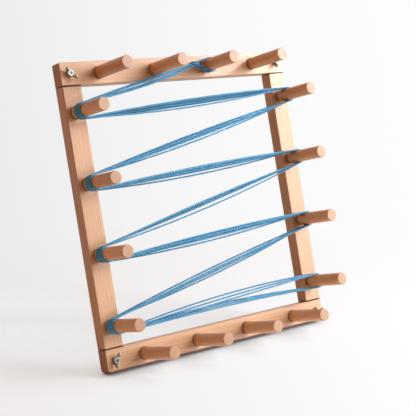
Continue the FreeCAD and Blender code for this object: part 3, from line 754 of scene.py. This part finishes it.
def spin_yarn(name, steps, thickness=1.0):
    """Make one length of yarn as a mesh and return it with its length."""
    points, length = even_points(smooth_points(steps), RING_STEP)
    curve = bpy.data.curves.new(name, "CURVE")
    curve.dimensions = "3D"
    curve.twist_mode = "MINIMUM"
    curve.bevel_mode = "OBJECT"
    curve.bevel_object = ply_section
    curve.use_fill_caps = True
    spline = curve.splines.new("POLY")
    spline.points.add(len(points) - 1)
    for index, (point, place) in enumerate(zip(spline.points, points)):
        travelled = length * index / (len(points) - 1)
        point.co = (*place, 1)
        point.tilt = math.tau * (travelled / PLY_TURN % 1)
        point.radius = thickness + swell(travelled)
    mesh = flatten(curve)
    mesh.shade_smooth()
    mark_plies(mesh, length / (len(points) - 1))
    piece = bpy.data.objects.new(name, mesh)
    bpy.context.scene.collection.objects.link(piece)
    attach(piece, "board")
    return piece, length


# %% Wind the lanes
strands = []
for number, lane in enumerate(lanes, start=1):
    strand, length = spin_yarn(f"warp_lane_{number}", lane)
    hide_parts("warp_yarn")
    strands.append(strand)
    print(strand.name, "length", round(length, 3), "triangles", len(strand.data.polygons) * 2)

# %% [markdown]
# ## The tie
# Beside the third top peg the first loop is drawn together, and a short length of the same yarn
# goes once round the strands there. The strands lie in two rows, so the tie is a flat-sided coil:
# straight over and under the rows, and half round at each side. In the portrait it hardly shows,
# so it is drawn tight and thin.

# %% Tie the gathered strands
TIE_RADIUS, TIE_HALF, TIE_PITCH = 3.6 * MM, 3.5 * MM, 2.7 * MM
TIE_OFFSET, TIE_TAIL = 2 * MM, 3 * MM
TIE_THICKNESS = 0.75


def tie_steps():
    """Wind the tie once round, between two short straight tails."""
    heading = first_heading + droop()
    forward, normal, aside = way_of(heading, 0), upward(heading), Vector((0, -1, 0))
    quarter = math.pi * TIE_RADIUS / 2
    climb = TIE_PITCH / (4 * quarter + 4 * TIE_HALF)
    origin = Vector((gathered.x, FRONT - GATHER_DEPTH, gathered.z)) + forward * TIE_OFFSET
    corners = [(TIE_HALF, -TIE_RADIUS, 0, 2 * TIE_HALF),
               (TIE_HALF + TIE_RADIUS, 0, 90, quarter),
               (TIE_HALF, TIE_RADIUS, 180, quarter),
               (-TIE_HALF, TIE_RADIUS, 180, 2 * TIE_HALF),
               (-TIE_HALF - TIE_RADIUS, 0, 270, quarter),
               (-TIE_HALF, -TIE_RADIUS, 0, quarter)]
    steps, travelled = [], 0
    for across, up, angle, step in corners:
        travelled += step
        bend = math.radians(angle)
        place = origin + aside * across + normal * up + forward * (climb * travelled)
        way = aside * math.cos(bend) + normal * math.sin(bend) + forward * climb
        steps.append((place, way.normalized()))
    (first, first_way), (last, last_way) = steps[0], steps[-1]
    return ([(first - first_way * TIE_TAIL, first_way)] + steps
            + [(last + last_way * TIE_TAIL, last_way)])


tie, length = spin_yarn("warp_tie_yarn", tie_steps(), TIE_THICKNESS)
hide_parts("warp_tie")
print(tie.name, "length", round(length, 4))

# %% [markdown]
# ## Blue cotton
# Cotton scatters light softly and has a faint bloom of loose fibres at its edges. The mesh carries
# two attributes from the spinning: "fibre" is a spot's place in the yarn before it was twisted, so
# streaks on it wind along with the plies, and "ply" tells crowns from hollows, so the hollows get
# painted shade. A little sheen on the shader's own socket stands for the bloom.

# %% Dye the yarn
STREAK_SCALE, PATCH_SCALE, FUZZ_SCALE = 2600, 60, 5200
PATCH_STOPS = (0.35, (0.86, 0.9, 0.93)), (0.65, (1.1, 1.06, 1.04))
HOLLOW_SHADE_TONE = (0.3, 0.47, 0.6, 1)


def cotton(name, colour):
    """Make a dyed cotton: fibres along the plies, with painted shade in the hollows between them.
    """
    material, tree, shader = new_finish(name)
    place = add(tree, "TexCoord").outputs["Object"]
    fibre = add(tree, "Attribute", {"attribute_name": "fibre"}).outputs["Vector"]
    ply = add(tree, "Attribute", {"attribute_name": "ply"}).outputs["Fac"]

    streaks = noise(tree, stretched(tree, fibre, "X", 0.25), STREAK_SCALE, 2, 0.6)
    deep = tuple(value * 0.5 for value in colour)
    pale = tuple(min(value * 1.25 + 0.03, 1) for value in colour)
    tone = ramp(tree, streaks, (0.3, deep), (0.52, colour), (0.72, pale))
    patches = noise(tree, place, PATCH_SCALE)
    tone = blend(tree, "MULTIPLY", 1.0, tone, ramp(tree, patches, *PATCH_STOPS))
    # The hollows between the plies get painted shade
    hollow = remap(tree, ply, 0.75, 0.0)
    tone = blend(tree, "MULTIPLY", hollow, tone, HOLLOW_SHADE_TONE)
    join(tree, tone, shader.inputs["Base Color"])

    shader.inputs["Roughness"].default_value = 0.85
    shader.inputs["Sheen Weight"].default_value = 0.5
    shader.inputs["Sheen Roughness"].default_value = 0.5
    fuzz = noise(tree, place, FUZZ_SCALE)
    bump = add(tree, "Bump", Strength=0.6, Distance=0.2 * MM)
    join(tree, sum_up(tree, "ADD", fuzz, streaks), bump.inputs["Height"])
    join(tree, bump.outputs["Normal"], shader.inputs["Normal"])
    return tell(material)


blue_cotton = cotton("blue_cotton", linear(70, 169, 216))
for strand in strands + [tie]:
    strand.data.materials.append(blue_cotton)

# %% [markdown]
# ## The backdrop
# Behind the board is a photographer's cove: near white at the right and light grey at the left,
# with no line where the floor ends. A strong light on a white wall would spill on the wood. So the
# camera is simply shown these greys, while the wood and the yarn are lit by the lamps and the room.

# %% Choose the greys of the backdrop
PORTRAIT_ACROSS = (0.79, -0.61, 0)
BACKDROP_REACH = 0.19
BACKDROP_STOPS = ((0.0, (0.83, 0.83, 0.83)), (0.3, (0.895, 0.893, 0.895)),
                  (0.65, (0.955, 0.957, 0.955)), (1.0, (0.975, 0.98, 0.982)))


def backdrop_tone(tree):
    """Give the backdrop's colour by how far to the left or right of the portrait it lies."""
    place = add(tree, "TexCoord").outputs["Generated"]
    share = add(tree, "MapRange", From_Min=-BACKDROP_REACH, From_Max=BACKDROP_REACH)
    join(tree, dot(tree, place, PORTRAIT_ACROSS), share.inputs["Value"])
    return ramp(tree, share.outputs["Result"], *BACKDROP_STOPS)


print("backdrop greys:", [stop[1][0] for stop in BACKDROP_STOPS])

# %% [markdown]
# ## The floor
# The board in the portrait leans back by about fifteen degrees on a white floor. Here it stands
# upright in its own frame, so the floor leans instead, and the camera with it. The floor has to
# keep the soft shadow of the board and still melt into the backdrop. So it is partly a matt white
# that takes shadows and partly its own pale glow, and it turns clear further out and from below.
# Close under the wood the glow is dimmed by ambient occlusion, once widely and once narrowly.

# %% Mix the floor
GLOW_SHARE = 0.62
GLOW_STOPS = (0.0, (0.94, 0.94, 0.94)), (1.0, (1.0, 1.0, 1.0))
GLOW_REACH = 0.4
FADE_START, FADE_END = 0.3, 0.9
CONTACT_SHADES = (25 * MM, (0.3, 0.28, 0.27)), (4 * MM, (0.1, 0.03, 0.01))


def mix_shaders(tree, share, first, second):
    """Mix two shaders by a share and return the mixed one."""
    node = add(tree, "MixShader")
    join(tree, share, node.inputs["Fac"])
    join(tree, first, node.inputs[1])
    join(tree, second, node.inputs[2])
    return node.outputs["Shader"]


def floor_glow(tree, place):
    """Give the floor's own pale glow, with the shade of what stands close over it."""
    share = remap(tree, dot(tree, place, PORTRAIT_ACROSS), -GLOW_REACH, GLOW_REACH)
    tone = ramp(tree, share, *GLOW_STOPS)
    for reach, deep in CONTACT_SHADES:
        open_sky = add(tree, "AmbientOcclusion", {"samples": 12}, Distance=reach)
        shade = ramp(tree, open_sky.outputs["AO"], (0.0, deep), (0.95, (1, 1, 1)))
        tone = blend(tree, "MULTIPLY", 1.0, tone, shade)
    glow = add(tree, "Emission", Strength=1.0)
    join(tree, tone, glow.inputs["Color"])
    return glow.outputs["Emission"]


def floor_finish():
    """Make a pale floor that keeps the shadows and fades into the backdrop."""
    material, tree, shader = new_finish("pale_floor")
    shader.inputs["Base Color"].default_value = (0.79, 0.86, 0.94, 1)
    shader.inputs["Roughness"].default_value = 0.8
    shader.inputs["Specular IOR Level"].default_value = 0.0
    place = add(tree, "TexCoord").outputs["Object"]
    camera_ray = add(tree, "LightPath").outputs["Is Camera Ray"]
    glow_share = sum_up(tree, "MULTIPLY", camera_ray, GLOW_SHARE)
    seen = mix_shaders(tree, glow_share, shader.outputs["BSDF"], floor_glow(tree, place))

    distance = add(tree, "VectorMath", {"operation": "LENGTH"})
    join(tree, place, distance.inputs[0])
    far = remap(tree, distance.outputs["Value"], FADE_START, FADE_END)
    below = add(tree, "NewGeometry").outputs["Backfacing"]
    clear_share = sum_up(tree, "MAXIMUM", far, below)
    clear = add(tree, "BsdfTransparent").outputs["BSDF"]
    surface = mix_shaders(tree, clear_share, seen, clear)
    join(tree, surface, tree.nodes["Material Output"].inputs["Surface"])
    return tell(material)


pale_floor = floor_finish()

# %% Lay the floor
FLOOR_RADIUS = 1.0
FLOOR_LEAN = math.radians(15.5)


def disc_mesh(name, radius):
    """Make a flat disc with its middle at the origin."""
    mesh = bpy.data.meshes.new(name)
    shape = bmesh.new()
    bmesh.ops.create_circle(shape, cap_ends=True, segments=96, radius=radius)
    shape.to_mesh(mesh)
    shape.free()
    disc = bpy.data.objects.new(name, mesh)
    bpy.context.scene.collection.objects.link(disc)
    return disc


floor = disc_mesh("floor", FLOOR_RADIUS)
floor.data.materials.append(pale_floor)
floor.rotation_euler[0] = FLOOR_LEAN
floor.location = (0, BAR_THICKNESS / 2, 0)
print("floor radius", FLOOR_RADIUS, "m, lean", round(math.degrees(FLOOR_LEAN), 1), "degrees")

# %% [markdown]
# ## The lamps
# The light comes from the right, as from a tall window: a large soft key lamp up high, and a broad
# panel low down that reaches in under the pegs and the yarn. A weak narrow lamp brightens the top
# right corner, which is nearest to the light. Large lamps give the shadows their soft edges.

# %% Light the board
BOARD_CENTRE = (0, 0, 0.22)
TOP_RIGHT_CORNER = (0.24, -0.05, 0.45)


def lamp(name, side, height, distance, size, power,
         colour=(1, 1, 1), aim=BOARD_CENTRE, spread=180):
    """Add a soft lamp that faces the board from an angle to its right and an angle up."""
    data = bpy.data.lights.new(name, "AREA")
    data.shape = "RECTANGLE"
    data.size, data.size_y = size
    data.energy = power
    data.color = colour
    data.spread = math.radians(spread)
    holder = bpy.data.objects.new(name, data)
    turn_right = Matrix.Rotation(math.radians(side), 3, "Z")
    turn_up = Matrix.Rotation(math.radians(-height), 3, "X")
    way = turn_right @ turn_up @ Vector((0, -1, 0))
    holder.location = Vector(aim) + way * distance
    holder.rotation_mode = "QUATERNION"
    holder.rotation_quaternion = way.to_track_quat("Z", "Y")
    bpy.context.scene.collection.objects.link(holder)
    print("lamp", name, power, "W at", [round(value, 2) for value in holder.location])


lamp("key", 44, 30, 2.4, (1.4, 1.4), 34, colour=(0.96, 1, 1.05))
lamp("panel", 45, 7, 2.2, (1.3, 1.4), 50)
lamp("corner", 52, 25, 1.1, (0.1, 0.1), 0.12,
     colour=(0.8, 0.93, 1.35), aim=TOP_RIGHT_CORNER, spread=17)

# %% [markdown]
# ## The room
# What the lamps miss is lit by the room. Its walls are far from white, so this light is weak and
# warm, and warmest from the left, where no window is. A world can show one thing to the camera and
# another to a matt surface: Light Path tells them apart, and the camera, mirrors and glass get the
# backdrop. The view transform is Standard, so that a colour comes out as it was mixed.

# %% Light the room
ROOM_STRENGTH = 0.43
ROOM_STOPS = (0.0, (1, 0.61, 0.41)), (1.0, (1, 0.53, 0.29))


def light_the_room(strength):
    """Give the object a soft even light, and show the camera the backdrop instead."""
    world = bpy.data.worlds.new("room")
    world.use_nodes = True
    tree = world.node_tree
    shown = add(tree, "Background")
    join(tree, backdrop_tone(tree), shown.inputs["Color"])

    even = add(tree, "Background", Strength=strength)
    place = add(tree, "TexCoord").outputs["Generated"]
    left = remap(tree, dot(tree, place, (-1, 0, 0)), -0.2, 0.8)
    join(tree, ramp(tree, left, *ROOM_STOPS), even.inputs["Color"])

    path = add(tree, "LightPath")
    mirrored = sum_up(tree, "MAXIMUM", path.outputs["Is Glossy Ray"],
                      path.outputs["Is Transmission Ray"])
    seen = sum_up(tree, "MAXIMUM", path.outputs["Is Camera Ray"], mirrored)
    surface = mix_shaders(tree, seen, even.outputs["Background"], shown.outputs["Background"])
    join(tree, surface, tree.nodes["World Output"].inputs["Surface"])
    bpy.context.scene.world = world


light_the_room(ROOM_STRENGTH)
bpy.context.scene.view_settings.view_transform = "Standard"
print("room light:", ROOM_STRENGTH, "view:", bpy.context.scene.view_settings.view_transform)

# %% [markdown]
# ## The camera
# The portrait is taken from the left with a long lens, which keeps the bars nearly parallel. The
# place and turn were fitted to the corners of the frame and to both ends of the sixteen pegs. The
# camera is tilted to one side by nine degrees, because it leans with the floor.

# %% Set up the camera
LENS = 94.2
CAMERA_PLACE = (-1.00785, -1.32619, 0.19745)
CAMERA_TURN = (90.404, 9.249, -37.677)

camera_data = bpy.data.cameras.new("portrait")
camera_data.sensor_width = 36
camera_data.lens = LENS
camera = bpy.data.objects.new("portrait", camera_data)
camera.location = CAMERA_PLACE
camera.rotation_euler = [math.radians(angle) for angle in CAMERA_TURN]
bpy.context.scene.collection.objects.link(camera)
bpy.context.scene.camera = camera
print("lens", LENS, "mm, at", round(camera.location.length, 2), "m from the board's foot")

# %% Remove the yarn's section curve
bpy.data.objects.remove(ply_section)
